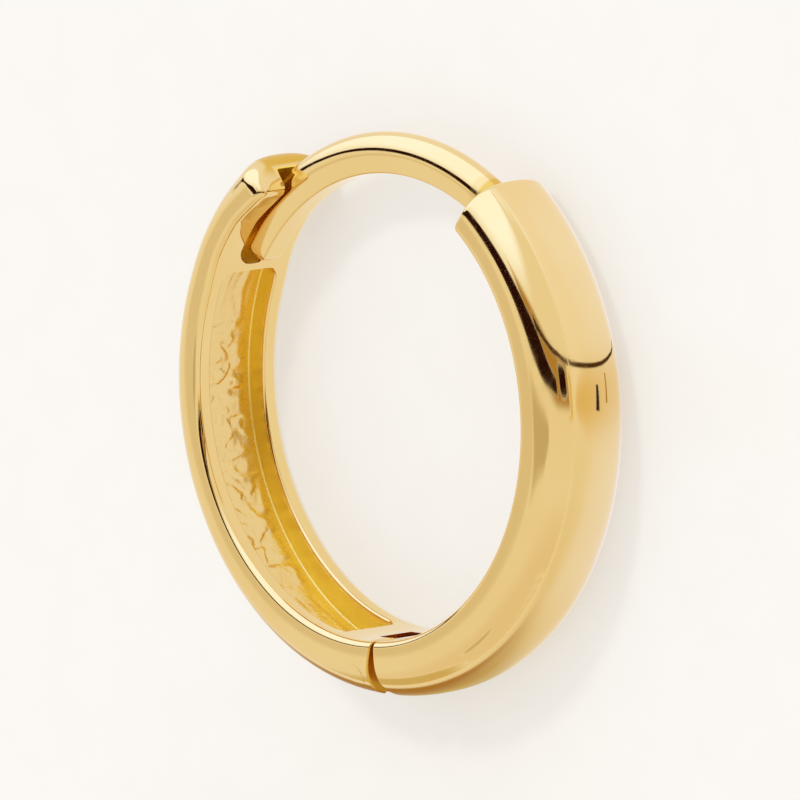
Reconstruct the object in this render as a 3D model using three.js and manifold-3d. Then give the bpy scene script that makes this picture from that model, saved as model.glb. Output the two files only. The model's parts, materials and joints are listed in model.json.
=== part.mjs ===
// A hinged huggie hoop earring in polished gold, lying on its side.
//
// Two domed half hoops turn about a small riveted pin. The front half carries the ear post, which is
// soldered into its top end; the post's tip lies in a slot in the top end of the back half. The back
// half is hollowed along its inside by an open channel.
//
// Millimetres. +Z is the hoop's axis and points up from the surface that the earring lies on, +X goes
// from the hollow back half to the front half, and +Y from the hinge to the ear post. The origin is on
// that surface, at the middle of the earring's box. Angles are measured about the hoop's axis, in
// degrees, anticlockwise from +X.

import * as THREE from 'three';
import { mergeVertices } from 'three/addons/utils/BufferGeometryUtils.js';
import Module from 'manifold-3d';

const wasm = await Module();
wasm.setup();

// ---- The hoop's oval and its band ----
const HOOP_REACH = 6.0; // from the hoop's centre to its crown, along X
const HOOP_TALL = 1.04; // the oval is this much taller along Y than it is wide
const BAND_WIDTH = 2.34; // along the hoop's axis
const DOME_POWER = 2.45; // 2 is a true ellipse, more is a flatter crown with fuller shoulders
const SIDE_FLAT = 0.12; // flat stretch of each side, below the dome
const LIP_RADIUS = 0.15; // round of the two inner edges

// How far each top end is rounded off: along the hoop, and in from its crown, sides and inner face.
const FRONT_ROUND = { reach: 0.14, crown: 0.14, side: 0.14, inner: 0.14 };
const CATCH_ROUND = { reach: 0.4, crown: 0.34, side: 0.2, inner: 0.1 };

// How deep the band is from its crown to its inside, round the hoop.
const FRONT_DEPTHS = [
  { angle: -90, depth: 1.2 },
  { angle: 0, depth: 1.23 },
  { angle: 55, depth: 1.24 },
];
const BACK_DEPTHS = [
  { angle: 127, depth: 1.02 },
  { angle: 132, depth: 1.0 },
  { angle: 139, depth: 0.92 },
  { angle: 149, depth: 0.92 },
  { angle: 158, depth: 1.0 },
  { angle: 200, depth: 1.03 },
  { angle: 240, depth: 1.12 },
  { angle: 270, depth: 1.2 },
];
const FRONT_END = 54.3; // where the front half ends and the post comes out
const BACK_END = 126.3; // where the back half's catch ends
const SEAM_OVERRUN = 7; // the bands are made this far past the bottom, then cut to the seam

// ---- The channel inside the back half ----
const CHANNEL_WIDTH = 1.54;
const CHANNEL_FLOOR = 0.56; // metal left between the channel's floor and the crown
const CHANNEL_FROM = 153.4;
const CHANNEL_TO = 256.5;

// ---- The ear post: a bent wire, domed outside and tapering to its inner face ----
const POST_REACH = 5.64; // from its own centre to its crown
const POST_SHIFT = 0.15; // its centre lies this much nearer the front half than the hoop's
const POST_LIFT = 0.05; // and this much above it
const POST_WIDTH = 0.71;
const POST_INNER_WIDTH = 0.54;
const POST_DOME = 0.49; // height of its domed outer part
const POST_DEPTH = 0.87; // crown to inner face
const POST_TIP = 149;
const POST_ROOT = 54; // where it is soldered on, just inside the front half's end face

// ---- The slot in the catch ----
const SLOT_WIDTH = 0.86;
const SLOT_ROOF_GAP = 0.07; // from the post's crown to the slot's roof
const SLOT_END = 152.5;
const SLOT_OVERRUN = 20; // degrees that the slot is cut past the end of the catch

// ---- The hinge ----
const PIN_X = -0.3;
const PIN_DEPTH = 0.47; // from the crown to the pin's axis
const PIN_RADIUS = 0.22;
const PIN_SEAT_GAP = 0.01; // round the pin in the fork's two cheeks
const PIN_TURN_GAP = 0.03; // round the pin in the tongue, which turns on it
const KNUCKLE_RADIUS = 0.42;
const TONGUE_WIDTH = 0.86;
const TONGUE_OUTER = 0.15; // from the crown to the tongue's outer edge
const TONGUE_INNER = 1.0; // from the crown to its inner edge
const KNUCKLE_FROM = 80; // the knuckle's round runs from here
const KNUCKLE_TO = 270;
const FORK_SLOT_WIDTH = 0.92;
const FORK_SLOT_GAP = 0.05; // between the knuckle and the bottom of the fork's slot
// Where each half's end face is along X: on the inside of the hoop, then at the crown.
const CHEEK_FACE = { inner: 0.28, outer: 0 };
const FRONT_FACE = { inner: 0.33, outer: 0.38 };

// ---- How finely the round shapes are cut into flats ----
const DOME_STEPS = 14;
const POST_DOME_STEPS = 10;
const LIP_STEPS = 3;
const BAND_STEP = 4; // degrees
const POST_STEP = 5;
const ROUND_STEPS = 24;
const END_STEPS = 4;

const CUT = 4; // how far a cutting tool reaches past what it cuts

const radians = THREE.MathUtils.degToRad;

/** Reads a table of { angle, depth } rows at one angle. */
function depthAt(table, angle) {
  const last = table.length - 1;
  if (angle <= table[0].angle) return table[0].depth;
  if (angle >= table[last].angle) return table[last].depth;
  const i = table.findIndex((row) => row.angle > angle) - 1;
  const share = (angle - table[i].angle) / (table[i + 1].angle - table[i].angle);
  return THREE.MathUtils.lerp(table[i].depth, table[i + 1].depth, share);
}

/** The band's section as [depth below the crown, height along the axis], for one depth of band. */
function bandSection(depth) {
  const half = BAND_WIDTH / 2;
  const dome = depth - SIDE_FLAT - LIP_RADIUS;
  const points = [];
  for (let i = 0; i <= DOME_STEPS; i++) {
    const a = Math.PI * (i / DOME_STEPS);
    const rise = Math.sin(a) ** (2 / DOME_POWER);
    const side = Math.sign(Math.cos(a)) * Math.abs(Math.cos(a)) ** (2 / DOME_POWER);
    points.push([dome * (1 - (i % DOME_STEPS === 0 ? 0 : rise)), half * side]);
  }
  for (const top of [false, true]) {
    for (let i = 0; i <= LIP_STEPS; i++) {
      const a = (Math.PI / 2) * ((top ? LIP_STEPS - i : i) / LIP_STEPS);
      const height = half - LIP_RADIUS + LIP_RADIUS * Math.cos(a);
      points.push([depth - LIP_RADIUS + LIP_RADIUS * Math.sin(a), top ? height : -height]);
    }
  }
  return points;
}

/** Pulls a section in by a share of an end's full rounding. */
function pulledIn(section, depth, round, share) {
  const along = 1 - (share * (round.crown + round.inner)) / depth;
  const across = 1 - (share * 2 * round.side) / BAND_WIDTH;
  return section.map(([d, h]) => [share * round.crown + d * along, h * across]);
}

/** The post's section, as [depth below its crown, height along the axis]. */
function postSection() {
  const half = POST_WIDTH / 2;
  const points = [];
  for (let i = 0; i <= POST_DOME_STEPS; i++) {
    const a = Math.PI * (i / POST_DOME_STEPS);
    points.push([POST_DOME * (1 - Math.sin(a)), half * Math.cos(a)]);
  }
  points.push([POST_DEPTH, -POST_INNER_WIDTH / 2]);
  points.push([POST_DEPTH, POST_INNER_WIDTH / 2]);
  return points;
}

/** A point of the hoop: so deep below its crown, so high along its axis, at one angle. */
function hoopPoint(depth, height, angle) {
  const a = radians(angle);
  const reach = HOOP_REACH - depth;
  return new THREE.Vector3(reach * Math.cos(a), reach * HOOP_TALL * Math.sin(a), height);
}

/** The same for the post, which is round and has a centre of its own. */
function postPoint(depth, height, angle) {
  const a = radians(angle);
  const reach = POST_REACH - depth;
  return new THREE.Vector3(POST_SHIFT + reach * Math.cos(a), POST_LIFT + reach * Math.sin(a), height);
}

/** A closed solid through a row of stations, each { angle, section }, all with as many points. */
function loft(stations, place) {
  const count = stations[0].section.length;
  const positions = [];
  for (const { angle, section } of stations) {
    for (const [depth, height] of section) positions.push(...place(depth, height, angle).toArray());
  }
  const index = [];
  for (let s = 0; s + 1 < stations.length; s++) {
    for (let i = 0; i < count; i++) {
      const a = s * count + i;
      const b = s * count + ((i + 1) % count);
      index.push(a, b, b + count, a, b + count, a + count);
    }
  }
  const outline = stations[0].section.map(([d, h]) => new THREE.Vector2(d, h));
  const faces = THREE.ShapeUtils.triangulateShape(outline, []);
  const end = (stations.length - 1) * count;
  for (const [a, b, c] of faces) {
    index.push(a, c, b);
    index.push(end + a, end + b, end + c);
  }
  const geometry = new THREE.BufferGeometry();
  geometry.setAttribute('position', new THREE.Float32BufferAttribute(positions, 3));
  geometry.setIndex(index);
  return geometry;
}

/** Angles from one to another in even steps no longer than `step`. */
function anglesBetween(from, to, step) {
  const count = Math.ceil(Math.abs(to - from) / step);
  return Array.from({ length: count + 1 }, (_, i) => from + ((to - from) * i) / count);
}

/** Half a hoop from its plain end at the seam to its rounded top end. */
function bandGeometry(table, seamAngle, topAngle, round) {
  const turn = Math.sign(topAngle - seamAngle);
  const roundAngle = THREE.MathUtils.radToDeg(round.reach / HOOP_REACH);
  const stations = anglesBetween(seamAngle, topAngle - turn * roundAngle, BAND_STEP).map((angle) => ({
    angle,
    section: bandSection(depthAt(table, angle)),
  }));
  for (let i = 1; i <= END_STEPS; i++) {
    const a = (Math.PI / 2) * (i / END_STEPS);
    const angle = topAngle - turn * roundAngle * (1 - Math.sin(a));
    const depth = depthAt(table, angle);
    stations.push({ angle, section: pulledIn(bandSection(depth), depth, round, 1 - Math.cos(a)) });
  }
  return loft(turn > 0 ? stations : stations.reverse(), hoopPoint);
}

/** Turns a closed geometry into a manifold-3d solid. */
function solid(geometry) {
  const bare = new THREE.BufferGeometry();
  bare.setAttribute('position', geometry.getAttribute('position'));
  bare.setIndex(geometry.getIndex());
  const merged = mergeVertices(bare, 1e-5);
  return new wasm.Manifold(
    new wasm.Mesh({
      numProp: 3,
      vertProperties: new Float32Array(merged.getAttribute('position').array),
      triVerts: new Uint32Array(merged.getIndex().array),
    }),
  );
}

/** A named mesh of a finished solid. */
function meshOf(name, body, material) {
  const { vertProperties, triVerts } = body.getMesh();
  const geometry = new THREE.BufferGeometry();
  geometry.setAttribute('position', new THREE.Float32BufferAttribute(vertProperties, 3));
  geometry.setIndex(Array.from(triVerts));
  geometry.computeVertexNormals();
  const mesh = new THREE.Mesh(geometry, material);
  mesh.name = name;
  return mesh;
}

/** A flat outline in XY made into a solid, `thick` along Z and centred on z = 0. */
function plate(points, thick) {
  const shape = new THREE.Shape(points.map(([x, y]) => new THREE.Vector2(x, y)));
  const geometry = new THREE.ExtrudeGeometry(shape, { depth: thick, bevelEnabled: false });
  geometry.translate(0, 0, -thick / 2);
  return solid(geometry);
}

/** A round bar along Z through the pin's axis. */
function barAtPin(radius, long) {
  const geometry = new THREE.CylinderGeometry(radius, radius, long, ROUND_STEPS);
  geometry.rotateX(Math.PI / 2);
  geometry.translate(PIN_X, PIN_Y, 0);
  return solid(geometry);
}

/** A groove cut from inside the hoop: so wide, down to one depth below the crown. */
function groove(width, floorDepth, from, to, place, step) {
  const section = [
    [floorDepth, width / 2],
    [floorDepth, -width / 2],
    [floorDepth + CUT / 2, -width / 2],
    [floorDepth + CUT / 2, width / 2],
  ];
  return solid(loft(anglesBetween(from, to, step).map((angle) => ({ angle, section })), place));
}

// ---- Places that follow from the sizes ----
const CROWN_BOTTOM = -HOOP_REACH * HOOP_TALL;
const INSIDE_BOTTOM = -(HOOP_REACH - depthAt(FRONT_DEPTHS, -90)) * HOOP_TALL;
const PIN_Y = CROWN_BOTTOM + PIN_DEPTH;
const PAST_CROWN = CROWN_BOTTOM - CUT;
const PAST_INSIDE = INSIDE_BOTTOM + BAND_WIDTH / 2;

/** Everything on one side, -1 or 1 along X, of an end face that leans between inside and crown. */
function besideFace(face, side) {
  const lean = (face.outer - face.inner) / (CROWN_BOTTOM - INSIDE_BOTTOM);
  const faceAt = (y) => face.inner + lean * (y - INSIDE_BOTTOM);
  return plate(
    [
      [side * CUT, PAST_CROWN],
      [faceAt(PAST_CROWN), PAST_CROWN],
      [faceAt(PAST_INSIDE), PAST_INSIDE],
      [side * CUT, PAST_INSIDE],
    ],
    BAND_WIDTH + CUT,
  );
}

/** The hinge's tongue: a web out of the front half that ends in a round knuckle. */
function tongue() {
  const root = FRONT_FACE.outer + KNUCKLE_RADIUS;
  const points = [
    [root, CROWN_BOTTOM + TONGUE_OUTER],
    [root, CROWN_BOTTOM + TONGUE_INNER],
  ];
  for (const a of anglesBetween(KNUCKLE_FROM, KNUCKLE_TO, 360 / ROUND_STEPS)) {
    const t = radians(a);
    points.push([PIN_X + KNUCKLE_RADIUS * Math.cos(t), PIN_Y + KNUCKLE_RADIUS * Math.sin(t)]);
  }
  return plate(points, TONGUE_WIDTH);
}

/** The front half with its soldered post and its tongue. */
function frontHalf() {
  const whole = solid(bandGeometry(FRONT_DEPTHS, -90 - SEAM_OVERRUN, FRONT_END, FRONT_ROUND));
  const band = whole.subtract(besideFace(FRONT_FACE, -1));
  const section = postSection();
  const stations = anglesBetween(POST_ROOT, POST_TIP, POST_STEP).map((angle) => ({ angle, section }));
  const post = solid(loft(stations, postPoint));
  return band.add(post).add(tongue()).subtract(barAtPin(PIN_RADIUS + PIN_TURN_GAP, BAND_WIDTH + CUT));
}

/** The back half with its channel, its catch slot and its fork. */
function backHalf() {
  const slotBottom = PIN_X - KNUCKLE_RADIUS - FORK_SLOT_GAP;
  const forkSlot = plate(
    [
      [slotBottom, PAST_CROWN],
      [CUT, PAST_CROWN],
      [CUT, PAST_INSIDE],
      [slotBottom, PAST_INSIDE],
    ],
    FORK_SLOT_WIDTH,
  );
  const channel = groove(CHANNEL_WIDTH, CHANNEL_FLOOR, CHANNEL_FROM, CHANNEL_TO, hoopPoint, BAND_STEP);
  const slotFrom = BACK_END - SLOT_OVERRUN;
  const catchSlot = groove(SLOT_WIDTH, -SLOT_ROOF_GAP, slotFrom, SLOT_END, postPoint, POST_STEP);
  return solid(bandGeometry(BACK_DEPTHS, 270 + SEAM_OVERRUN, BACK_END, CATCH_ROUND))
    .subtract(besideFace(CHEEK_FACE, 1))
    .subtract(channel)
    .subtract(catchSlot)
    .subtract(forkSlot)
    .subtract(barAtPin(PIN_RADIUS + PIN_SEAT_GAP, BAND_WIDTH + CUT));
}

/** The riveted pin, dressed flush with the domed sides of the band. */
function hingePin() {
  const band = solid(bandGeometry(BACK_DEPTHS, 270 + SEAM_OVERRUN, BACK_END, CATCH_ROUND));
  return barAtPin(PIN_RADIUS, BAND_WIDTH + CUT).intersect(band);
}

const gold = new THREE.MeshStandardMaterial({ color: 0xe9c46c, roughness: 0.12, metalness: 1 });

const earring = new THREE.Group();
earring.name = 'huggie_hoop';
earring.add(
  meshOf('front_half', frontHalf(), gold),
  meshOf('back_half', backHalf(), gold),
  meshOf('hinge_pin', hingePin(), gold),
);

// The origin goes to the middle of the box, on the surface that the earring lies on.
const box = new THREE.Box3().setFromObject(earring);
const middle = box.getCenter(new THREE.Vector3());
earring.position.set(-middle.x, -middle.y, -box.min.z);

export default earring;
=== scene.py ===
# %% [markdown]
# # A hinged huggie hoop in polished gold
#
# The real earring is three pieces of gold: a domed front half with the ear post soldered to it, a
# hollowed back half with a catch and a hinge fork, and a small riveted pin. It lies on its side here,
# as it would if it were put down on a table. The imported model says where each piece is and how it
# moves, so the first step loads that frame, and every fine mesh below is made to fit it.

# %% Load the frame
import json
import math

import bpy
import numpy as np
from mathutils import Matrix, Vector, noise


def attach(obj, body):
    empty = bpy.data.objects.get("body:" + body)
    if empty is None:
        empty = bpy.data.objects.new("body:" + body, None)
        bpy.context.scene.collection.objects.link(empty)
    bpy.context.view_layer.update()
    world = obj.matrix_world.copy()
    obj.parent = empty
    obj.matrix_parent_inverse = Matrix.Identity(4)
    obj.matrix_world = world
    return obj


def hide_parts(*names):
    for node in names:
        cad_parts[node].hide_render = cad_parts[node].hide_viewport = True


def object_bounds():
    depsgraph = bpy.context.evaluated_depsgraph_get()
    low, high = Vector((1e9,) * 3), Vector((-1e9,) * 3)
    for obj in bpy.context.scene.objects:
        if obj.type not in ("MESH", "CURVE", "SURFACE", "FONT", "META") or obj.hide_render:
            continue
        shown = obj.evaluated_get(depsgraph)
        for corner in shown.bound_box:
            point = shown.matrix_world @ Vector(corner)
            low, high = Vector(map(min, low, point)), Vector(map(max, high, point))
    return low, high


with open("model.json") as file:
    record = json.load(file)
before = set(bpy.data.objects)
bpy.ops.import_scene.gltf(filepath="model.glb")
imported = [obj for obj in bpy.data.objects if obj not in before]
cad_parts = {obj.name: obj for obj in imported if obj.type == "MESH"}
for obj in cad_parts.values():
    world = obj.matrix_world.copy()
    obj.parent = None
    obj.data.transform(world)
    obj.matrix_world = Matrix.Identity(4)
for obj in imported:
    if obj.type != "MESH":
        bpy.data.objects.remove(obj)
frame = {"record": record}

cad_low, cad_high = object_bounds()
print("CAD box in mm", [round(1000 * v, 3) for v in (*cad_low, *cad_high)])

# %% [markdown]
# ## Sizes
#
# A goldsmith would start from the band: how far across the hoop is, and how wide and how deep its band.
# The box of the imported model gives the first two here, so the fine meshes can't outgrow it. Sizes that
# belong to one piece come with that piece. All are in millimetres, about the hoop's own centre, and
# only the finished meshes are turned into metres. Working at that scale keeps the cutting tools exact
# on a thing that is barely 12 mm across.

# %% The hoop and its band
MM = 0.001
INSET = 0.004  # the finished meshes stay this far inside the frame's box
HOOP_REACH = 500 * (cad_high.x - cad_low.x) - INSET  # centre to crown
HOOP_TALL = 1.04  # the hoop is a little taller than it is wide
BAND_WIDTH = 1000 * (cad_high.z - cad_low.z) - INSET
FRONT_DEPTHS = {"angle": (-90, 0, 55), "depth": (1.2, 1.23, 1.24)}  # degrees round the hoop
print("hoop", round(2 * HOOP_REACH, 3), "mm across, band", round(BAND_WIDTH, 3), "mm wide")

# %% Where the hinge and the hoop's centre are
PIN_X, PIN_DEPTH = -0.3, 0.47  # the pin's place along X, and below the crown
crown_bottom = -HOOP_REACH * HOOP_TALL
inside_bottom = -(HOOP_REACH - FRONT_DEPTHS["depth"][0]) * HOOP_TALL
pin_y = crown_bottom + PIN_DEPTH
hinge = next(j for j in frame["record"]["behaviour"]["joints"] if j["name"] == "hinge")
hoop_centre = Vector(hinge["pos_m"]) - MM * Vector((PIN_X, pin_y, 0))
print("hoop centre in mm", [round(1000 * v, 3) for v in hoop_centre])

# %% [markdown]
# ## Lofting a band
#
# A domed band is drawn through one cross-section after another. A round wire could be a curve with a
# bevel, but this band changes depth round the hoop, has a groove that starts and stops, and ends in
# rounded faces, so it is lofted: each station has the same number of points, and each point is joined
# to its twin in the next station. That gives long even quads, which is what a mirror polish needs,
# because every unevenness of a mesh shows as a kink in a reflection.

# %% The dome of the band
DOME_POWER, DOME_STEPS = 2.45, 72
FINE_STEPS = 4001  # the curve is drawn this finely, and then cut into even steps


def dome_curve(half, height, steps):
    """A superellipse from +half over the crown to -half, in even steps: (depth below the crown, height)."""
    a = np.linspace(0, np.pi, FINE_STEPS)
    side = np.sign(np.cos(a)) * np.abs(np.cos(a)) ** (2 / DOME_POWER)
    rise = np.abs(np.sin(a)) ** (2 / DOME_POWER)
    x, y = half * side, height * (1 - rise)
    run = np.concatenate([[0], np.cumsum(np.hypot(np.diff(x), np.diff(y)))])
    even = np.linspace(0, run[-1], steps + 1)
    return np.column_stack([np.interp(even, run, y), np.interp(even, run, x)])


print("points on a dome", len(dome_curve(BAND_WIDTH / 2, 1, DOME_STEPS)))

# %% The groove along its inside
RIM_FILLET, FLOOR_FILLET = 0.07, 0.05
FILLET_STEPS, WALL_STEPS, FLOOR_STEPS = 6, 6, 44


def groove_curve(half, depth, inner):
    """The inner face from the lower side to the upper, with a groove so wide and so deep in it.

    Its edges are rounded over and its floor runs up into its walls, as in cast metal."""
    over, under = min(RIM_FILLET, 0.4 * depth), min(FLOOR_FILLET, 0.5 * depth, 0.6 * half)
    a = np.linspace(0, np.pi / 2, FILLET_STEPS + 1)
    top = np.column_stack([inner - over * (1 - np.cos(a)), -half - over * (1 - np.sin(a))])
    bottom = np.column_stack([inner - depth + under * (1 - np.sin(a)), -half + under * (1 - np.cos(a))])
    share = np.linspace(0, 1, WALL_STEPS + 1)[1:-1, None]
    wall = np.concatenate([top, top[-1] + (bottom[0] - top[-1]) * share, bottom])
    across = np.linspace(bottom[-1][1], -bottom[-1][1], FLOOR_STEPS + 1)[1:-1]
    floor = np.column_stack([np.full(len(across), inner - depth), across])
    return np.concatenate([wall, floor, wall[::-1] * (1, -1)])


print("points across a groove", len(groove_curve(0.7, 0.4, 1.2)))

# %% A whole section
SIDE_FLAT, LIP_RADIUS, LIP_STEPS = 0.12, 0.15, 8


def band_section(depth, crown, side, inside, groove_half, groove_depth):
    """One closed section of a band as (depth below the crown, height along the axis).

    It is pulled in by so much at its crown, its sides and its inside."""
    half = BAND_WIDTH / 2 - side
    inner = depth - inside
    dome = dome_curve(half, inner - SIDE_FLAT - LIP_RADIUS - crown, DOME_STEPS) + (crown, 0)
    a = np.linspace(0, np.pi / 2, LIP_STEPS + 1)
    lip = np.column_stack([inner - LIP_RADIUS * (1 - np.sin(a)), -(half - LIP_RADIUS * (1 - np.cos(a)))])
    return np.concatenate([dome, lip, groove_curve(groove_half, groove_depth, inner), lip[::-1] * (1, -1)])


print("points in a section", len(band_section(1.2, 0, 0, 0, 0.7, 0.4)))

# %% A loft through the sections
def loft(name, rings, marks=None):
    """A closed mesh through rings of points. `marks` gives each point a value for the material."""
    count = len(rings[0])
    points = np.concatenate(rings)
    faces = [tuple(range(count))[::-1]]
    for s in range(len(rings) - 1):
        for i in range(count):
            a, b = s * count + i, s * count + (i + 1) % count
            faces.append((a, b, b + count, a + count))
    faces.append(tuple(range(len(points) - count, len(points))))
    mesh = bpy.data.meshes.new(name)
    mesh.from_pydata(points.tolist(), [], faces)
    values = np.zeros(len(points)) if marks is None else np.concatenate(marks)
    mesh.attributes.new("cast_metal_and_painted_shade", "FLOAT", "POINT").data.foreach_set("value", values)
    piece = bpy.data.objects.new(name, mesh)
    bpy.context.collection.objects.link(piece)
    return piece


# %% [markdown]
# ## Cutting and joining
#
# Solder makes two pieces one, and a saw and a drill cut the hinge. Blender's Boolean modifier does the
# same to meshes. It is applied straight away, so what rides on the frame is a plain mesh. Saws and
# drills are meshes too: a bar along the hinge's axis, and a plate with its long edges eased.

# %% Solder and saw
def work(piece, tool, operation):
    """Joins a tool mesh to a piece or cuts it away, and removes the tool."""
    boolean = piece.modifiers.new("work", "BOOLEAN")
    boolean.object, boolean.operation, boolean.solver = tool, operation, "EXACT"
    finished = bpy.data.meshes.new_from_object(piece.evaluated_get(bpy.context.evaluated_depsgraph_get()))
    piece.modifiers.clear()
    piece.data = finished
    bpy.data.objects.remove(tool)


# %% Bars and plates
BAR_SIDES, BAR_LONG = 96, BAND_WIDTH + 1  # long enough to reach past both sides
EASED_STEPS = 5


def bar(name, radius):
    """A round bar along the hinge's axis."""
    a = np.radians(np.arange(BAR_SIDES) * 360 / BAR_SIDES)
    circle = np.column_stack([PIN_X + radius * np.cos(a), pin_y + radius * np.sin(a)])
    ends = (-BAR_LONG / 2, BAR_LONG / 2)
    return loft(name, [np.column_stack([circle, np.full(BAR_SIDES, z)]) for z in ends])


def plate(name, outline, thick, edge=0.0, mark=0.0):
    """A flat outline in XY made solid, with its two long edges eased."""
    outline = np.array(outline)
    middle = outline.mean(axis=0)
    rings = []
    for share in np.linspace(0, 1, EASED_STEPS) if edge else [1]:
        a = share * math.pi / 2
        size = np.abs(outline - middle).max()
        shrink = 1 - edge * (1 - math.sin(a)) / size
        z = -thick / 2 + edge * (1 - math.cos(a))
        rings.append(np.column_stack([middle + (outline - middle) * shrink, np.full(len(outline), z)]))
    rings += [ring * (1, 1, -1) for ring in rings[::-1]]
    return loft(name, rings, [np.full(len(ring), mark) for ring in rings])


print("a bar has", BAR_SIDES, "sides")

# %% [markdown]
# ## The two halves
#
# Each half starts at the hinge seam, where its points lie on the flat saw cut, and ends at its rounded
# top end. Between the two the stations follow the hoop. Near an end the section is pulled in along a
# quarter circle, which is how a polished end looks: no sharp corner survives the buffing wheel.
#
# The floor of the channel was never buffed. It keeps the skin of the casting, with lumps and flow
# lines. A bump in the material would do from afar, but here it is a large part of what is seen, so the
# floor's points are raised. Layers of soft noise do that, and one of them bends the others.

# %% The cast floor
CHANNEL_WIDTH = 1.54
CAST_HEIGHT, CAST_MARK = 0.032, 0.8  # how high it stands, and the mark from which a point is floor
CAST_LUMPS = (163, 233)  # lumps and strokes between these angles, flow lines past them
CAST_FADE = 6  # degrees over which one turns into the other
# Each layer: waves to the millimetre along and across, how far they are bent, and a seed.
CAST_LAYERS = {
    "wander": (1.4, 1.4, 0, 0, 5),
    "lumps": (2.6, 1.8, 1, 0.6, 1),
    "strokes": (4.2, 2.4, 0, 1.2, 2),
    "flow": (0.9, 5.0, 1, 0.6, 3),
    "grain": (9, 9, 0, 0, 4),
}


def smooth_step(share):
    share = np.clip(share, 0, 1)
    return share * share * (3 - 2 * share)


def cast_layer(kind, along, height, wander=0.0):
    """One layer of the skin at a place in mm, bent by `wander` as metal is when it flows."""
    often_along, often_across, bend_along, bend_across, seed = CAST_LAYERS[kind]
    bent_along = along * often_along + bend_along * wander
    bent_across = height * often_across + bend_across * wander
    return noise.noise((bent_along, bent_across, seed))


def cast_relief(angle, depth, height, mark):
    """How far the cast metal stands up, in mm: soft lumps, flow lines along the hoop and a fine grain."""
    along = math.radians(angle) * (HOOP_REACH - depth)
    wander = cast_layer("wander", along, height)
    lumps, strokes, flow = (cast_layer(k, along, height, wander) for k in ("lumps", "strokes", "flow"))
    past_start, to_end = angle - CAST_LUMPS[0], CAST_LUMPS[1] - angle
    inside = smooth_step(past_start / CAST_FADE) * smooth_step(to_end / CAST_FADE)
    raised = smooth_step((lumps + 0.25) / 0.5) + 0.8 * smooth_step((strokes + 0.05) / 0.4)
    lined = (0.2 + 0.8 * (1 - inside)) * 0.7 * flow
    rough = (0.1 + 0.9 * inside) * raised + lined + 0.12 * cast_layer("grain", along, height)
    middle = smooth_step((0.45 * CHANNEL_WIDTH - abs(height)) / (0.2 * CHANNEL_WIDTH))
    return CAST_HEIGHT * rough * float(middle * smooth_step((mark - CAST_MARK) / (1 - CAST_MARK)))


heights = [cast_relief(angle, 0.6, 0.1, 1.0) for angle in range(*CAST_LUMPS)]
print("cast metal stands up by", round(min(heights), 3), "to", round(max(heights), 3), "mm")

# %% Ends: the flat seam, and how far a rounded end is pulled in
# A rounded end: how long it is, how far its crown, sides and inside are pulled in, and how far to each
# side of the middle its face is left satin and painted a darker gold, as painted shade.
ROUNDED = ("reach", "crown", "side", "inner", "inner_reach")
SEAM_ROUND = {**dict.fromkeys(ROUNDED, 0.05), "satin_and_shade_half": 2}
SEAM_ROUNDS = 6  # the seam's angle is worked out again so often, each time from the last one


def seam_angles(section, face):
    """The angle at which each point of a section meets the flat end face at the seam."""
    lean = (face["outer"] - face["inner"]) / (crown_bottom - inside_bottom)
    reach = HOOP_REACH - section[:, 0]
    angle = np.full(len(section), -90.0)
    for _ in range(SEAM_ROUNDS):
        a = np.radians(angle)
        target = face["inner"] + lean * (HOOP_TALL * reach * np.sin(a) - inside_bottom)
        angle = np.degrees(np.arcsin(target / reach)) - 90
    return angle


def pulled_in(away, rounding, where, reach="reach"):
    """How far an end is pulled in so far away from it, along a quarter of an ellipse."""
    share = np.clip(1 - away / rounding[reach], 0, 1)
    return rounding[where] * (1 - math.sqrt(1 - share**2))


print("a seam's edge is pulled in by", round(pulled_in(0.01, SEAM_ROUND, "crown"), 4), "mm near the end")

# %% Where a half gets its sections
STEP, SHORTEST_STEP = 0.08, 0.0015  # mm along the crown
END_STEPS = 17


def station_places(span, end_round, extra_places):
    """Distances from the seam at which a half gets a section, close together at its rounded ends."""
    quarter = np.sin(np.linspace(0, math.pi / 2, END_STEPS))
    places = [0, *(SEAM_ROUND["reach"] * (1 - quarter[::2])), span]
    for reach in (end_round["reach"], end_round["inner_reach"]):
        places += [span - reach * (1 - q) for q in quarter]
    even = np.arange(STEP, span, STEP)
    places += [place for place in [*even, *extra_places] if place < span - end_round["reach"]]
    kept = [0]
    for place in sorted(places):
        if place - kept[-1] >= SHORTEST_STEP:
            kept.append(place)
    return kept


print("sections along 10 mm of band", len(station_places(10, SEAM_ROUND, [])))

# %% A half, lofted from the seam to its top end
SATIN_FADE = 0.2  # mm over which a satin end face, painted darker as painted shade, turns into polished metal


def hoop_points(section, angles):
    a = np.radians(angles)
    reach = HOOP_REACH - section[:, 0]
    return np.column_stack([reach * np.cos(a), HOOP_TALL * reach * np.sin(a), section[:, 1]])


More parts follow.
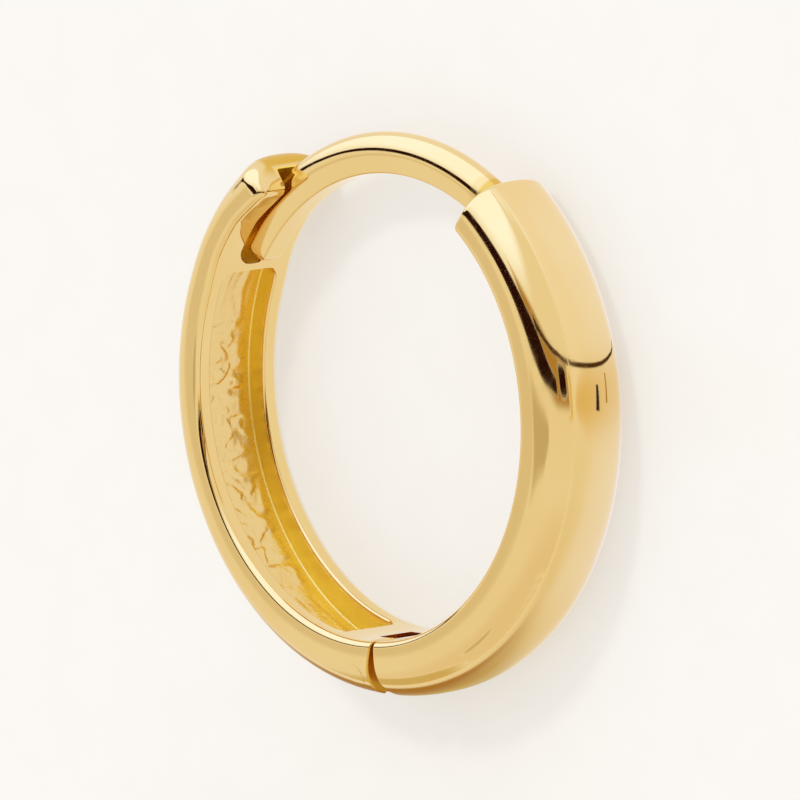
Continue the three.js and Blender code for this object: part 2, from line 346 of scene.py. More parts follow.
def half_hoop(name, depths, face, end_angle, end_round, groove_at, extra_angles=()):
    """A lofted half. `groove_at(angle, depth)` gives the groove's half width, its depth and a mark.

    Each point is marked for the material: 0 is polished, 1 is the cast floor, between is satin and painted
    a deeper gold, and below 0 is the satin of an end face, painted a darker gold. Both colours are painted
    shade for light that bounces between gold faces."""
    turn = 1 if end_angle < 90 else -1
    start = -90 if turn > 0 else 270
    span = math.radians(abs(end_angle - start)) * HOOP_REACH
    extra_places = [turn * math.radians(a - start) * HOOP_REACH for a in extra_angles]
    rings, marks = [], []
    for along in station_places(span, end_round, extra_places):
        angle = start + turn * math.degrees(along / HOOP_REACH)
        depth = np.interp(angle, depths["angle"], depths["depth"])
        rounding, away = (SEAM_ROUND, along) if along < span / 2 else (end_round, span - along)
        crown, side = (pulled_in(away, rounding, where) for where in ("crown", "side"))
        inside = pulled_in(away, rounding, "inner", "inner_reach")
        half, deep, mark = groove_at(angle, depth)
        section = band_section(depth, crown, side, inside, half, deep - inside if deep else 0)
        cast = mark * np.clip((depth - section[:, 0]) / max(deep, 1e-6), 0, 1)
        cast[: DOME_STEPS + LIP_STEPS + 2] = 0
        cast[-LIP_STEPS - 1 :] = 0
        # End faces are marked below 0: satin, and painted a darker gold as painted shade.
        near_end = smooth_step(2 - 2 * away / rounding["reach"])
        past_satin = rounding.get("satin_and_shade_half", 0) - np.abs(section[:, 1])
        satin_and_shaded_end = near_end * smooth_step(past_satin / SATIN_FADE)
        cast = np.where((cast > 0) & (away > 0), cast, -satin_and_shaded_end)
        for i in np.flatnonzero(cast > CAST_MARK):
            section[i, 0] += cast_relief(angle, section[i, 0], section[i, 1], cast[i])
        from_seam = seam_angles(section, face) + (0 if turn > 0 else 360)
        rings.append(hoop_points(section, from_seam + (end_angle - from_seam) * (along / span)))
        marks.append(cast)
    return loft(name, rings[::turn], marks[::turn])


# %% [markdown]
# ### The front half
#
# The front half is solid, because it is the half that is seen when the earring is worn. It could be
# swept along a curve, but then both of its ends would need trimming: the loft gives it a flat seam and
# a rounded top end at once. Its inside is plain, so its groove has no depth.

# %% The front half's band
FRONT_FACE = {"inner": 0.33, "outer": 0.38}  # the end face's place along X, inside and at the crown
FRONT_END = 54.3
FRONT_ROUND = dict.fromkeys(ROUNDED, 0.14)
SLOT_WIDTH = 0.86  # the catch's slot: a plain inside spreads its points as if it had one, too


def plain_inside(angle, depth):
    """No groove: its half width, its depth and its mark."""
    return SLOT_WIDTH / 2, 0.0, 0.0


front = half_hoop("front_half_polished", FRONT_DEPTHS, FRONT_FACE, FRONT_END, FRONT_ROUND, plain_inside)
print("front band faces", len(front.data.polygons))

# %% [markdown]
# ### The ear post
#
# The post is a drawn wire, domed on the outside and tapering to a narrow flat on the inside, bent to a
# curve of its own. It is lofted like the band, because its section isn't round and a little solder runs
# up round its foot in a hollow curve. The tip is rounded, so that it goes through the ear and finds the
# catch. A Boolean union is the solder.

# %% The wire's section
POST_WIDTH, POST_INNER_WIDTH = 0.71, 0.54
POST_DOME, POST_DEPTH, POST_LIP, POST_FLARE = 0.49, 0.87, 0.05, 0.012
ARC_POINTS, FLANK_POINTS, LIP_POINTS, FLAT_POINTS = 41, 8, 7, 5


def post_section(inset, width):
    """The wire's section, pulled in by `inset` (or swollen where that is negative)."""
    a = np.linspace(0, math.pi, ARC_POINTS)
    half, inner_half = width / 2 - inset, POST_INNER_WIDTH / 2 - inset
    dome = np.column_stack([inset + (POST_DOME - inset) * (1 - np.sin(a)), half * np.cos(a)])
    low = POST_DEPTH - inset
    foot = np.array([[low - POST_LIP, -inner_half - POST_FLARE], [low, -inner_half + POST_LIP]])
    flank = np.linspace(dome[-1], foot[0], FLANK_POINTS)[1:]
    t = np.linspace(0, 1, LIP_POINTS)[1:, None]
    corner = np.array([low, -inner_half])
    lip = (1 - t) ** 2 * foot[0] + 2 * t * (1 - t) * corner + t**2 * foot[1]
    under = np.concatenate([flank, lip])
    across = np.linspace(foot[1][1], -foot[1][1], FLAT_POINTS)[1:-1]
    flat = np.column_stack([np.full(len(across), low), across])
    return np.concatenate([dome, under, flat, under[::-1] * (1, -1)])


print("points round the wire", len(post_section(0, POST_WIDTH)))

# %% The post, soldered on
POST_REACH, POST_SHIFT, POST_LIFT = 5.64, 0.15, 0.05  # its bend, about a point off the hoop's centre
POST_ROOT, POST_NARROWS, POST_TIP = 54.0, 115, 149.0  # degrees round the hoop
POST_TIP_WIDTH, TIP_REACH, TIP_RADIUS = 0.66, 0.26, 0.19
SOLDER_RADIUS, SOLDER_START = 0.1, 0.6
POST_STEP, AFTER_FOOT, BEFORE_TIP = 0.8, 2.5, 3  # degrees
FOOT_RINGS, TIP_RINGS = 9, 13


def post_points(section, angles):
    a = np.radians(angles)
    reach = POST_REACH - section[:, 0]
    return np.column_stack([POST_SHIFT + reach * np.cos(a), POST_LIFT + reach * np.sin(a), section[:, 1]])


def ear_post():
    arc = math.degrees(1 / POST_REACH)
    stations = [(POST_ROOT, -SOLDER_RADIUS)]
    foot = FRONT_END + SOLDER_START
    for a in np.linspace(0, math.pi / 2, FOOT_RINGS):
        along = arc * SOLDER_RADIUS * (1 - math.cos(a))
        stations.append((foot + along, -SOLDER_RADIUS * (1 - math.sin(a))))
    stations += [(angle, 0.0) for angle in np.arange(foot + AFTER_FOOT, POST_TIP - BEFORE_TIP, POST_STEP)]
    for a in np.linspace(0, math.pi / 2, TIP_RINGS):
        stations.append((POST_TIP - arc * TIP_REACH * (1 - math.sin(a)), TIP_RADIUS * (1 - math.cos(a))))
    rings = []
    for angle, inset in stations:
        width = np.interp(angle, (POST_NARROWS, POST_TIP), (POST_WIDTH, POST_TIP_WIDTH))
        rings.append(post_points(post_section(inset, width), angle))
    return loft("post", rings)


work(front, ear_post(), "UNION")
print("front half with its post", len(front.data.polygons), "faces")

# %% [markdown]
# ### The hinge
#
# A tongue with a round knuckle comes out of the front half's bottom end and sits in a fork that is
# sawn into the back half. The pin goes through all three and its ends are filed flush. The tongue is
# hidden when the earring is closed, but its gap shows as a dark line, so it is really there.

# %% The tongue
KNUCKLE_RADIUS, TONGUE_WIDTH, TONGUE_EDGE = 0.42, 0.86, 0.04
TONGUE_OUTER, TONGUE_INNER = BAND_WIDTH / 16, 1.0  # from the crown
PIN_RADIUS, PIN_TURN_GAP = 0.22, 0.03
SATIN_PAINTED_DEEP = 0.5  # the mark of cast metal that is smooth but not polished, and painted a deeper gold as painted shade


def tongue():
    root = FRONT_FACE["outer"] + KNUCKLE_RADIUS
    outline = [(root, crown_bottom + TONGUE_OUTER), (root, crown_bottom + TONGUE_INNER)]
    for a in np.radians(np.arange(80, 271, 5)):
        outline.append((PIN_X + KNUCKLE_RADIUS * math.cos(a), pin_y + KNUCKLE_RADIUS * math.sin(a)))
    return plate("tongue", outline, TONGUE_WIDTH, edge=TONGUE_EDGE, mark=SATIN_PAINTED_DEEP)


work(front, tongue(), "UNION")
work(front, bar("bore", PIN_RADIUS + PIN_TURN_GAP), "DIFFERENCE")
print("front half finished", len(front.data.polygons), "faces")

# %% [markdown]
# ### The back half
#
# The back half is cast hollow, to save gold: a wide channel runs along its inside, and a narrower slot
# in its top end catches the post. Both are grooves in the band, so they are part of its section from
# station to station instead of being cut out afterwards. Extra stations follow the rounded corners
# where each groove ends. Only the fork is sawn, with the same kind of cut that a jeweller would make.

# %% The catch's slot and the channel
SLOT_ROOF_GAP, SLOT_END, SLOT_CORNER = 0.07, 151.7, 0.36
CHANNEL_FROM, CHANNEL_TO, CHANNEL_FLOOR, CHANNEL_CORNER = 153.4, 256.5, 0.56, 0.3
END_WALL = 0.05  # mm over which a groove reaches its full depth
WALL_PLACES, CORNER_PLACES = 8, 16


def slot_roof(angle):
    """How far below the hoop's crown the catch slot's roof lies."""
    a = math.radians(angle)
    away = POST_REACH + SLOT_ROOF_GAP
    p, q = math.cos(a), HOOP_TALL * math.sin(a)
    square, cross = p * p + q * q, p * POST_SHIFT + q * POST_LIFT
    inside = square * (POST_SHIFT**2 + POST_LIFT**2 - away**2)
    return HOOP_REACH - (cross + math.sqrt(cross**2 - inside)) / square


def rounded_end(from_end, half, corner):
    """A groove's half width so far from its rounded end, and how much of its full depth it has there."""
    share = np.clip(1 - from_end / corner, 0, 1)
    return half - corner * (1 - math.sqrt(1 - share**2)), float(smooth_step(from_end / END_WALL))


def back_groove(angle, depth):
    arc = math.radians(1) * (HOOP_REACH - depth)
    if angle < (SLOT_END + CHANNEL_FROM) / 2:
        half, share = rounded_end((SLOT_END - angle) * arc, SLOT_WIDTH / 2, SLOT_CORNER)
        return half, share * (depth - slot_roof(angle)), SATIN_PAINTED_DEEP
    to_end = min(angle - CHANNEL_FROM, CHANNEL_TO - angle) * arc
    half, share = rounded_end(to_end, CHANNEL_WIDTH / 2, CHANNEL_CORNER)
    return half, share * (depth - CHANNEL_FLOOR), 1.0


print("slot and channel, half width, depth and mark", back_groove(140, 0.92), back_groove(200, 1.03))

# %% Sections that follow the grooves' rounded ends
BACK_DEPTHS = {
    "angle": (127, 132, 139, 149, 158, 200, 240, 270),
    "depth": (1.02, 1.0, 0.92, 0.92, 1.0, 1.03, 1.12, 1.2),
}
FLOOR_MARGIN, FLOOR_STEP = 4, 0.32  # degrees


def round_the_end(end, away, corner):
    """Angles at which stations follow a groove's rounded end."""
    arc = math.radians(1) * (HOOP_REACH - BACK_DEPTHS["depth"][-1])
    close = np.linspace(0, END_WALL, WALL_PLACES)
    curve = corner * (1 - np.sin(np.linspace(0, math.pi / 2, CORNER_PLACES)))
    return [end + away * d / arc for d in np.concatenate([close, curve[curve > END_WALL]])]


groove_angles = round_the_end(SLOT_END, -1, SLOT_CORNER)
groove_angles += round_the_end(CHANNEL_FROM, 1, CHANNEL_CORNER)
groove_angles += round_the_end(CHANNEL_TO, -1, CHANNEL_CORNER)
groove_angles += list(np.arange(CHANNEL_FROM + FLOOR_MARGIN, CHANNEL_TO - FLOOR_MARGIN, FLOOR_STEP))
print("extra sections for the grooves", len(groove_angles))

# %% The back half's band
CHEEK_FACE = {"inner": 0.28, "outer": 0.0}  # the end face's place along X, inside and at the crown
BACK_END = 126.3
# The catch's end face is satin and painted a darker gold, as painted shade, to 0.8 mm each side of its
# middle.
CATCH_ROUND = {**dict(zip(ROUNDED, (0.4, 0.34, 0.2, 0.1, 0.16))), "satin_and_shade_half": 0.8}
back = half_hoop(
    "back_half_hollowed",
    BACK_DEPTHS,
    CHEEK_FACE,
    BACK_END,
    CATCH_ROUND,
    back_groove,
    groove_angles,
)
print("back band faces", len(back.data.polygons))

# %% The fork, sawn and drilled
FORK_SLOT_WIDTH, FORK_SLOT_GAP, PIN_SEAT_GAP = 0.92, 0.05, 0.01
seat = KNUCKLE_RADIUS + FORK_SLOT_GAP
seat_turn = np.radians(np.arange(75, 181, 5))
seat_curve = [(PIN_X + seat * math.cos(a), pin_y + seat * math.sin(a)) for a in seat_turn]
below, above, beside = crown_bottom - 1, inside_bottom + 1, 2  # past the metal on every side
saw = [(PIN_X - seat, below), (beside, below), (beside, above), (seat_curve[0][0], above), *seat_curve]
work(back, plate("saw", saw, FORK_SLOT_WIDTH, mark=SATIN_PAINTED_DEEP), "DIFFERENCE")
work(back, bar("drill", PIN_RADIUS + PIN_SEAT_GAP), "DIFFERENCE")
print("back half finished", len(back.data.polygons), "faces")

# %% [markdown]
# ### The pin
#
# A riveted pin is filed until it follows the dome. The same is done here: a long bar is kept only where
# a full band would be, so that its ends have the dome's own curve.

# %% The pin, filed flush
PIN_LINE = 0.0012  # the hairline that is left round a riveted pin
PAST_SEAM = {"inner": 1.2, "outer": 1.2}  # the full band runs past the seam, to hold all of the pin
pin = bar("hinge_pin_flush", PIN_RADIUS + PIN_SEAT_GAP - PIN_LINE)
full_band = half_hoop("full band", BACK_DEPTHS, PAST_SEAM, BACK_END, FRONT_ROUND, plain_inside)
work(pin, full_band, "INTERSECT")
print("pin finished", len(pin.data.polygons), "faces")

# %% [markdown]
# ## Putting the pieces in place
#
# The meshes go from millimetres about the hoop's centre to metres in the frame. Each rides on the body
# that it moves with, and stands in for one plain solid. Shading is smooth, with sharp edges only where
# two surfaces meet at more than about 35 degrees, as at the saw cuts.

# %% Place, ride and replace
SHARP = math.radians(35)


def place(piece, body, node, slot):
    mesh = piece.data
    mesh.transform(Matrix.Translation(hoop_centre) @ Matrix.Scale(MM, 4))
    mesh.polygons.foreach_set("use_smooth", [True] * len(mesh.polygons))
    mesh.set_sharp_from_angle(angle=SHARP)
    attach(piece, body)
    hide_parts(node)


place(front, "front", "front_half", "polished_gold")
place(back, "back", "back_half", "hollowed_gold")
place(pin, "back", "hinge_pin", "pin_gold")
print("placed", [piece.name for piece in (front, back, pin)])

# %% [markdown]
# ## Shader arithmetic
#
# A material is easier to read as sums than as a drawing of nodes. `Wire` stands for one output of a
# node, and its operators add Math nodes. Every other node comes from `Shader.add`, which takes the
# node's type, its settings, and what goes into its sockets.

# %% Wire
class Wire:
    """One output of a shader node."""

    def __init__(self, shader, socket):
        self.shader, self.socket = shader, socket

    def math(self, operation, *values):
        return self.shader.add("ShaderNodeMath", {"operation": operation}, dict(enumerate(values)))

    def __add__(self, other):
        return self.math("ADD", self, other)

    def __sub__(self, other):
        return self.math("SUBTRACT", self, other)

    def __rsub__(self, other):
        return self.math("SUBTRACT", other, self)

    def __mul__(self, other):
        return self.math("MULTIPLY", self, other)

    __radd__, __rmul__ = __add__, __mul__


# %% Shader
class Shader:
    """A material and its node tree."""

    def __init__(self, name):
        self.material = bpy.data.materials.new(name)
        self.material.use_nodes = True
        self.tree = self.material.node_tree
        self.tree.nodes.clear()

    def add(self, kind, settings=None, inputs=None, out=0):
        """Adds one node and gives its output of that number."""
        node = self.tree.nodes.new(kind)
        for key, value in (settings or {}).items():
            setattr(node, key, value)
        for key, value in (inputs or {}).items():
            if isinstance(value, Wire):
                self.tree.links.new(value.socket, node.inputs[key])
            else:
                node.inputs[key].default_value = value
        return Wire(self, node.outputs[out]) if node.outputs else None

    def mix(self, share, one, other):
        """Goes from one colour to the other."""
        colours = {6: one, 7: other}
        colours = {k: v if isinstance(v, Wire) else (*v, 1) for k, v in colours.items()}
        return self.add("ShaderNodeMix", {"data_type": "RGBA"}, {0: share, **colours}, out=2)

    def noise(self, where, scale, detail=2.0, roughness=0.5):
        values = {"Vector": where, "Scale": scale, "Detail": detail, "Roughness": roughness}
        return self.add("ShaderNodeTexNoise", None, values)

    def remap(self, value, low, high):
        """0 up to the low value, 1 from the high one on, and a soft step between them."""
        ends = {1: low, 2: high, 3: 0.0, 4: 1.0}
        return self.add("ShaderNodeMapRange", {"interpolation_type": "SMOOTHSTEP"}, {0: value, **ends})

    def surface(self, **inputs):
        values = {key.replace("_", " "): value for key, value in inputs.items()}
        shader = self.add("ShaderNodeBsdfPrincipled", None, values)
        self.add("ShaderNodeOutputMaterial", None, {0: shader})
        return self.material


# %% [markdown]
# ## The gold
#
# Polished gold is a bare metal: its colour is in its reflections, and it is almost a mirror. A mirror
# with no flaw looks drawn, so the buffed surface gets a slow unevenness, a faint haze and fine hairlines
# along the hoop. Where a buff can't reach, in the channel, the slot and on the sawn and cast faces, the
# metal is satin. The walls, the slot and the sawn faces are also painted a deeper, more orange gold, and
# the satin end faces a darker one. This is painted shade, standing in for light that meets gold more than
# once in these hollows before it leaves. The marks that the lofts carry say where that is.

# %% The piece's own coordinates
def millimetres(shader, stretch=(1, 1, 1)):
    """The piece's own coordinates in millimetres, stretched for streaks."""
    where = shader.add("ShaderNodeTexCoord", out=3)
    scale = tuple(s / MM for s in stretch)
    return shader.add("ShaderNodeMapping", None, {"Vector": where, "Scale": scale})


# %% Gold
GOLD, GOLD_DEEP = (0.86, 0.645, 0.285), (0.83, 0.59, 0.23)
# The next two colours are painted shade: a deeper gold for walls, slot and sawn faces, and a darker one for
# end faces, standing in for light that bounces between gold faces.
GOLD_WALL_PAINTED_BOUNCE, GOLD_END_PAINTED_SHADE = (1.0, 0.745, 0.1), (0.74, 0.45, 0.07)
POLISH_ROUGH, HAZE_ROUGH, HAIRLINE_ROUGH = 0.05, 0.05, 0.05
WALL_ROUGH, BED_ROUGH, END_ROUGH = 0.42, 0.2, 0.2  # added where the metal is satin
SATIN_GRAIN = 0.5
BUMP_STRENGTH, BUMP_DISTANCE = 0.25, 0.00003


def gold(name, satin_and_shade_marks=False):
    s = Shader(name)
    where = millimetres(s)
    cloud = s.noise(where, 0.35, 3.0)
    haze = s.noise(where, 2.2, 4.0)
    hairlines = s.remap(s.noise(millimetres(s, (0.5, 9, 3)), 4.0, 2.0), 0.62, 0.72)
    between = tuple(0.5 * (a + b) for a, b in zip(GOLD, GOLD_DEEP))
    colour = s.mix(s.remap(cloud, 0.3, 0.7), GOLD, between)
    rough = POLISH_ROUGH + HAZE_ROUGH * s.remap(haze, 0.35, 0.75) + HAIRLINE_ROUGH * hairlines
    height = 0.6 * cloud + 0.02 * haze - 0.006 * hairlines
    if satin_and_shade_marks:
        cast = s.add("ShaderNodeAttribute", {"attribute_name": "cast_metal_and_painted_shade"}, out=2)
        grain = s.noise(where, 9.0, 4.0, 0.6)
        bed = s.remap(cast, 0.94, 1.0)
        wall = s.remap(cast, 0.05, 0.3) * (1 - bed)
        end = s.remap(cast, 0.0, -1.0)
        # Painted shade: walls, slot and sawn faces get a deeper gold and end faces a darker one. The
        # roughness and grain that follow are the satin finish.
        colour = s.mix(end, s.mix(wall, colour, GOLD_WALL_PAINTED_BOUNCE), GOLD_END_PAINTED_SHADE)
        rough = rough + WALL_ROUGH * wall + BED_ROUGH * bed + END_ROUGH * end
        height = height + SATIN_GRAIN * bed * grain + SATIN_GRAIN * end * grain
    relief = {"Strength": BUMP_STRENGTH, "Distance": BUMP_DISTANCE, "Height": height}
    bump = s.add("ShaderNodeBump", None, relief)
    return s.surface(Base_Color=colour, Metallic=1.0, Roughness=rough, Normal=bump)


front.data.materials.append(gold("polished gold", satin_and_shade_marks=True))
back.data.materials.append(gold("hollowed gold", satin_and_shade_marks=True))
pin.data.materials.append(gold("pin gold"))
print("gold on", [piece.name for piece in (front, back, pin)])

# %% [markdown]
# ## The table
#
# The earring lies on pale paper on a lit table. Lit paper could be plain white under a strong lamp, but
# then the shadow is hard and dark. A light table is softer: part of the paper's brightness is its own
# glow, so that a shadow takes away only the rest.

# %% The pale paper
PAPER_DARK, PAPER_LIGHT = (0.447, 0.447, 0.447), (0.457, 0.457, 0.457)
TABLE_GLOW = (0.455, 0.442, 0.422, 1)


def pale_paper():
    s = Shader("pale paper")
    tooth = s.noise(millimetres(s), 0.8, 5.0)
    colour = s.mix(s.remap(tooth, 0.3, 0.7), PAPER_DARK, PAPER_LIGHT)
    bump = s.add("ShaderNodeBump", None, {"Strength": 0.05, "Distance": 0.00002, "Height": tooth})
    glow = {"Emission_Color": TABLE_GLOW, "Emission_Strength": 1.0}
    return s.surface(Base_Color=colour, Roughness=0.7, Normal=bump, **glow)


# %% The table top
TABLE_HALF = 2.0  # metres

table_mesh = bpy.data.meshes.new("floor")
corners = [(x * TABLE_HALF, y * TABLE_HALF, 0) for x, y in ((-1, -1), (1, -1), (1, 1), (-1, 1))]
table_mesh.from_pydata(corners, [], [(0, 1, 2, 3)])
table_mesh.materials.append(pale_paper())
floor = bpy.data.objects.new("floor", table_mesh)
bpy.context.collection.objects.link(floor)
print("table top", 2 * TABLE_HALF, "m across")

# %% [markdown]
# ## The camera
#
# Jewellery is taken with a long lens from far off, so that near and far parts have the same size. The
# camera looks at the hoop's centre from its front quarter, a little more than 40 degrees above the
# table, and is turned so that the pin is at the bottom of the picture and the post on top. It could be
# aimed with a Track To constraint, but the three directions of a camera are easy to work out from two
# angles, and the tent below is hung by the same directions.

# %% Where the camera stands
YAW, LIFT, ROLL = math.radians(46.3), math.radians(8.41), math.radians(-0.30)
CAMERA_DISTANCE, FRAME_WIDTH, SENSOR = 0.56, 0.0168, 36  # metres, metres and millimetres

towards = Vector((math.sin(YAW) * math.cos(LIFT), math.sin(LIFT), math.cos(YAW) * math.cos(LIFT)))
right = Vector((math.cos(YAW), 0, -math.sin(YAW)))
up = towards.cross(right)
right, up = (
    right * math.cos(ROLL) + up * math.sin(ROLL),
    up * math.cos(ROLL) - right * math.sin(ROLL),
)
print("degrees above the table", round(math.degrees(math.asin(towards.z)), 1))

# %% Camera
camera = bpy.data.objects.new("camera", bpy.data.cameras.new("camera"))
bpy.context.collection.objects.link(camera)
camera.data.sensor_width = SENSOR
camera.data.lens = SENSOR * CAMERA_DISTANCE / FRAME_WIDTH
camera.data.clip_start, camera.data.clip_end = 0.01, 10
turn = Matrix((right, up, towards)).transposed().to_4x4()
camera.matrix_world = Matrix.Translation(hoop_centre + towards * CAMERA_DISTANCE) @ turn
bpy.context.scene.camera = camera
bpy.context.scene.view_settings.view_transform = "Standard"
print("camera at mm", [round(1000 * v, 1) for v in camera.location], "lens", round(camera.data.lens))

# %% [markdown]
# ## The room that the gold shows
#
# Polished gold has hardly any colour of its own to show: what is seen is the room. The room here is a
# pale tent. A large softbox stands on the left and reaches overhead, and a black board lies below its
# edge. Its far end runs out into a thin dark gap under the overhead scrim. Warm folds of cloth hang
# below, and the camera itself shows as a small dark spot. A picture of a room could be wrapped round the
# scene instead, but single cloths can be moved one by one. Each is a patch of a sphere round the
# earring, given by its bearing from the camera and its height above the camera's level. Patches fade
# into the pale room at their edges, as cloth and paper do when they are lit. The camera doesn't see
# them, but the gold does.

# %% Bearings from the camera
ROOM = np.array((0.955, 0.93, 0.89))
LEVEL, SIDE = Vector((towards.x, 0, towards.z)).normalized(), Vector((right.x, 0, right.z)).normalized()


def bearing(angle, height):
    """The direction so many degrees to the camera's right and above its level."""
    a, h = math.radians(angle), math.radians(height)
    return (LEVEL * math.cos(a) + SIDE * math.sin(a)) * math.cos(h) + Vector((0, math.sin(h), 0))


print("a quarter turn to the right is along", [round(v, 2) for v in bearing(90, 0)])

# %% Sheets that shine, and are seen in reflections only
def own_light(name):
    """Shines in the colour that the mesh's points carry, which is how a lit cloth or card looks."""
    s = Shader(name)
    colour = s.add("ShaderNodeAttribute", {"attribute_name": "light"}, out=0)
    emission = s.add("ShaderNodeEmission", None, {"Color": colour, "Strength": 1.0})
    s.add("ShaderNodeOutputMaterial", None, {0: emission})
    return s.material


def sheet(name, grid, light):
    """A sheet of quads through a grid of points, seen in reflections only."""
    rows = len(grid[0])
    points = [p for line in grid for p in line]
    quads = [(i * rows + j, i * rows + j + 1) for i in range(len(grid) - 1) for j in range(rows - 1)]
    mesh = bpy.data.meshes.new(name)
    mesh.from_pydata(points, [], [(a, b, b + rows, a + rows) for a, b in quads])
    mesh.attributes.new("light", "FLOAT_VECTOR", "POINT").data.foreach_set("vector", np.ravel(light))
    mesh.materials.append(own_light(name))
    mesh.materials[0].cycles.emission_sampling = "NONE"
    piece = bpy.data.objects.new(name, mesh)
    bpy.context.collection.objects.link(piece)
    piece.visible_camera = False
    piece.visible_diffuse = False
    piece.visible_shadow = False


def faded(colour, shine):
    """The light at each point: the colour where the shine is 1, and the room's where it is 0."""
    return ROOM + np.array(shine)[..., None] * (np.array(colour) - ROOM)


# %% A patch of the tent
PATCH_ROWS, NARROW_ROWS = 25, 9  # rows of points from the lower edge to the upper


def tent_patch(name, edges, away, colour, feather, rows=PATCH_ROWS):
    """A patch of the tent between two edges, from a table of bearing, lowest and highest height."""
    bearings, lowest, highest = np.array(edges, float).T
    grid, shine = [], []
    for angle in np.arange(bearings[0], bearings[-1] + 0.5, 1.0):
        bottom, top = (np.interp(angle, bearings, edge) for edge in (lowest, highest))
        heights = np.linspace(bottom, top, rows)
        grid.append([hoop_centre + away * bearing(angle, h) for h in heights])
        inside = np.minimum(heights - heights[0], heights[-1] - heights)
        inside = np.minimum(inside, min(angle - bearings[0], bearings[-1] - angle))
        shine.append(smooth_step(inside / feather))
    sheet(name, grid, faded(colour, shine))


# %% The tent
BLACK = (0.025, 0.006, 0.004)
GAP = (0.08, 0.035, 0.01)
DAYLIGHT = (1.2, 1.42, 2.1)
EMBER = (0.5, 0.3, 0.08)
# Each patch: its distance in metres, its light, its feather in degrees and, if few are enough, its rows.
# Then come its two edges: a bearing, and the lowest and the highest height there.
TENT = {
    "softbox": (
        (0.5, DAYLIGHT, 26),
        (-165, 0, 120),
        (-75, 2, 120),
        (-45, 8, 120),
        (-20, 20, 120),
        (0, 40, 120),
        (24, 70, 120),
        (42, 119, 120),
    ),
    "black board": (
        (0.45, BLACK, 0.8),
        (-140, 10, 14),
        (-100, 8, 14),
        (-85, 2, 13),
        (-60, 0, 14),
        (-30, 1, 14),
        (-12, 2, 10),
        (6, 2, 8),
    ),
    "board's foot": (
        (0.48, (0.66, 0.58, 0.42), 4),
        (-80, -9, -5),
        (-70, -15, -3),
        (-40, -17, -3),
        (-26, -12, -5),
    ),
    "foot's far end": (
        (0.483, (0.83, 0.77, 0.68), 4),
        (-114, -6, -3),
        (-106, -10, 2),
        (-92, -13, 1),
        (-82, -14, -3),
        (-76, -12, -5),
    ),
    "low scrim": (
        (0.49, (0.9, 0.83, 0.73), 24),
        (-165, -125, -26),
        (75, -125, -26),
    ),
    "low fold": (
        (0.485, (0.72, 0.6, 0.33), 12),
        (-165, -84, -26),
        (-136, -82, -32),
        (-112, -78, -36),
        (-90, -74, -60),
    ),
    "knob fold": (
        (0.478, (0.7, 0.63, 0.44), 5),
        (-77, -62, -51),
        (-64, -64, -51),
        (-51, -62, -52),
    ),
    "ember": (
        (0.47, EMBER, 5),
        (-50, 2, 22),
        (-25, 0, 23),
        (0, -3, 20),
        (39, -3, 17),
    ),
    "warm edge": (
        (0.475, (0.88, 0.66, 0.24), 4),
        (32, -6, 14),
        (52, -6, 12),
    ),
    "camera": (
        (0.42, BLACK, 1.5),
        (13, 4, 12),
        (18, 2, 14),
        (28, 2, 14),
        (33, 4, 12),
    ),
    "gap": (
        (0.44, GAP, 0.4, NARROW_ROWS),
        (-32, 13, 17.5),
        (-10, 15, 18),
        (20, 15.4, 18),
        (44, 13.2, 15.8),
    ),
}
for name, (kind, *edges) in TENT.items():
    tent_patch(name, edges, *kind)
print("patches of the tent", len(TENT))

# %% [markdown]
# ### What lies on the table
#
# The side of the dome that faces the table shows only the table, so what the tent does above, the table
# has to do below. Strips of card lie on it: the board's gap runs on in one, down to where the hoop
# touches the table, and two short ones go on with the camera and the tent's warm edge. Under them a
# sheet carries soft pools of light: cool at the hoop's side, where the softbox would reach, and deep
# brown under its lower end, where the gold turns dark. The brown pools are painted shade, a contact
# shadow painted into what the gold reflects there. They work in reflections only.

# %% Pools of light
# Each pool: x, y, reach along x and y in mm, strength, colour.
POOLS = [
    (5.9, -1.2, 1.2, 3.6, 1, (1.0, 1.07, 1.5)),
    (5.2, 4.6, 1.2, 2.0, 1, (1.04, 1.1, 1.43)),
    (10, 1.0, 6, 0.8, 1.5, (0.82, 0.6, 0.18)),
    (9, -12, 7, 7, 1, (0.9, 0.84, 0.75)),
    # The next four pools are painted shade: brown and dark, for a contact shadow under the hoop's lower end
    # as the gold reflects it.
    (-1.6, -7.7, 4.5, 1.1, 1, (0.3, 0.13, 0.02)),
    (-2, -10.2, 4.5, 2.0, 6, (0.42, 0.2, 0.0)),
    (2.9, -8, 1.7, 2, 1, (0.77, 0.68, 0.45)),
    (1.0, -6.8, 1.6, 0.8, 3, (0.56, 0.4, 0.06)),
    (10, 9, 8, 6, 1, (1.04, 1.02, 1.13)),
    (5, 50, 24, 24, 1, (1.17, 1.32, 1.96)),
]
ROOM_WEIGHT = 0.3  # how strongly the room's own light holds out against the pools
SHEET_MIDDLE, SHEET_LIFT = 4, 0.012  # x of its middle, and its height above the table, in mm
MESH_FINE, MESH_HALF, MESH_GROWTH, MESH_RINGS = 0.2, 6, 1.15, 16  # fine in the middle, coarser outside


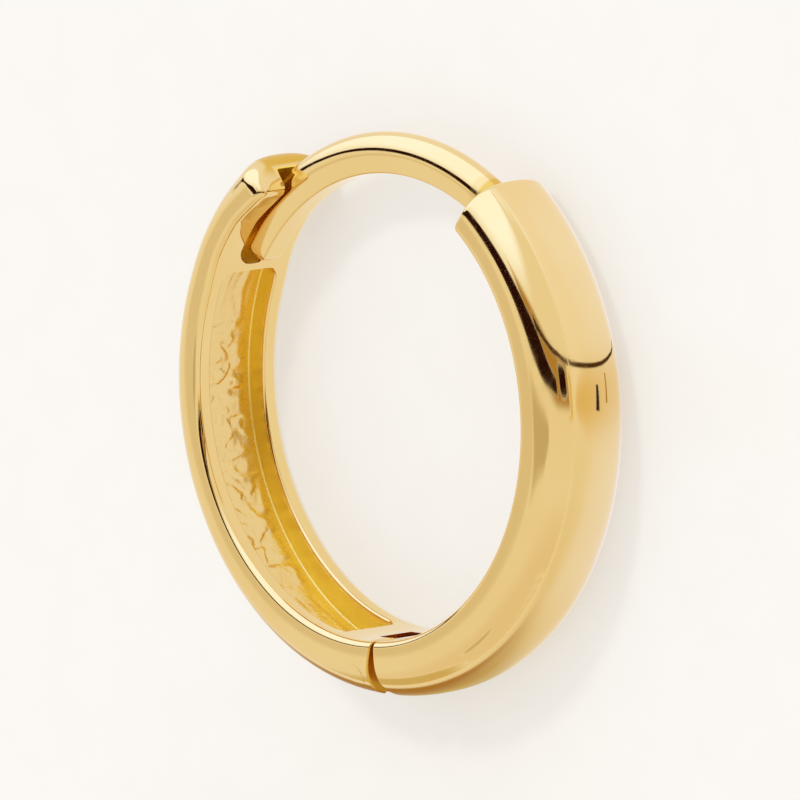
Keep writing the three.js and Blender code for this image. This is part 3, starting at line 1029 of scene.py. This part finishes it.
def table_light():
    """A sheet on the table, close-meshed beside the hoop, lit by the pools."""
    coarse = MESH_HALF * MESH_GROWTH ** np.arange(MESH_RINGS)
    growing = np.concatenate([np.arange(0, MESH_HALF, MESH_FINE), coarse])
    along = np.concatenate([-growing[:0:-1], growing])
    across = SHEET_MIDDLE + along
    x, y = np.meshgrid(across, along, indexing="ij")
    total, weights = ROOM_WEIGHT * ROOM, ROOM_WEIGHT
    for pool_x, pool_y, reach_x, reach_y, strength, colour in POOLS:
        weight = strength * np.exp(-(((x - pool_x) / reach_x) ** 2) - ((y - pool_y) / reach_y) ** 2)
        total = total + weight[..., None] * np.array(colour)
        weights = weights + weight
    grid = [[MM * Vector((a, b, SHEET_LIFT)) for b in along] for a in across]
    sheet("table light", grid, total / weights[..., None])


table_light()
print("pools of light", len(POOLS))

# %% A strip of card
STRIP_ROWS, STRIP_FEATHER, STRIP_LIFT = 9, 0.25, 0.02
PLACES_TO_A_POINT = 10  # rows of the strip for each point of its path


def card_strip(name, colour, path, widths):
    """A strip of card along a path on the table, in mm, with its width given at each point of the path."""
    path, places = np.array(path, float), np.linspace(0, 1, PLACES_TO_A_POINT * len(path))
    knots = np.linspace(0, 1, len(path))
    line = np.column_stack([np.interp(places, knots, path[:, axis]) for axis in (0, 1)])
    along = np.gradient(line, axis=0)
    aside = np.column_stack([-along[:, 1], along[:, 0]]) / np.hypot(*along.T)[:, None]
    wide = np.interp(places, knots, widths)
    offsets = np.linspace(-0.5, 0.5, STRIP_ROWS)
    grid = [
        [MM * Vector((*(point + side * width * share), STRIP_LIFT)) for share in offsets]
        for point, side, width in zip(line, aside, wide)
    ]
    shine = [smooth_step((0.5 - np.abs(offsets)) / STRIP_FEATHER)] * len(grid)
    sheet(name, grid, faded(colour, shine))


# %% Strips of card
# The gap's dark line: x, y and width in mm.
GAP_LINE = [
    (60, 16, 2.8),
    (18, 4.75, 0.65),
    (8.9, 2.35, 0.3),
    (7.6, 2.0, 0.24),
    (7.0, 1.85, 0.2),
    (6.5, 1.77, 0.16),
    (6.1, 1.76, 0.13),
    (5.75, 1.8, 0.1),
    (5.58, 1.87, 0.06),
    (5.48, 2.03, 0.02),
]
card_strip("gap strip", GAP, [row[:2] for row in GAP_LINE], [row[2] for row in GAP_LINE])
card_strip("camera strip", BLACK, [(7.1, 1.3), (7.22, 0.55)], (0.16, 0.28))
card_strip("edge strip", EMBER, [(6.46, 1.5), (6.6, 0.75)], (0.1, 0.16))
print("points along the gap's line", len(GAP_LINE))

# %% [markdown]
# ## Lamp and world
#
# The tent itself throws no light on the table: the world does, evenly, and one wide soft lamp behind the
# softbox gives the shadow its side. The lamp isn't seen in the gold, where the softbox stands for it.
# Light has to bounce many times between polished faces before it finds its way out of the catch, so
# reflections may bounce three times as often as usual.

# %% The lamp behind the softbox
LAMP_BEARING, LAMP_HEIGHT, LAMP_WIDTH = -50, 38, math.radians(9)
LAMP_STRENGTH, LAMP_COLOUR = 0.62, (1.0, 0.97, 0.93)
lamp = bpy.data.objects.new("lamp", bpy.data.lights.new("lamp", "SUN"))
bpy.context.collection.objects.link(lamp)
lamp.data.angle = LAMP_WIDTH
lamp.data.energy = LAMP_STRENGTH
lamp.data.color = LAMP_COLOUR
lamp.matrix_world = bearing(LAMP_BEARING, LAMP_HEIGHT).to_track_quat("Z", "Y").to_matrix().to_4x4()
lamp.visible_glossy = False
print("lamp from", [round(v, 2) for v in bearing(LAMP_BEARING, LAMP_HEIGHT)])

# %% The pale room
GLOSSY_BOUNCES = 12
bpy.context.scene.cycles.glossy_bounces = GLOSSY_BOUNCES
world = bpy.data.worlds.new("pale room")
bpy.context.scene.world = world
world.use_nodes = True
world.node_tree.nodes["Background"].inputs["Color"].default_value = (*ROOM, 1)
world.node_tree.nodes["Background"].inputs["Strength"].default_value = 1.0
print("room's light", tuple(ROOM), "bounces", GLOSSY_BOUNCES)
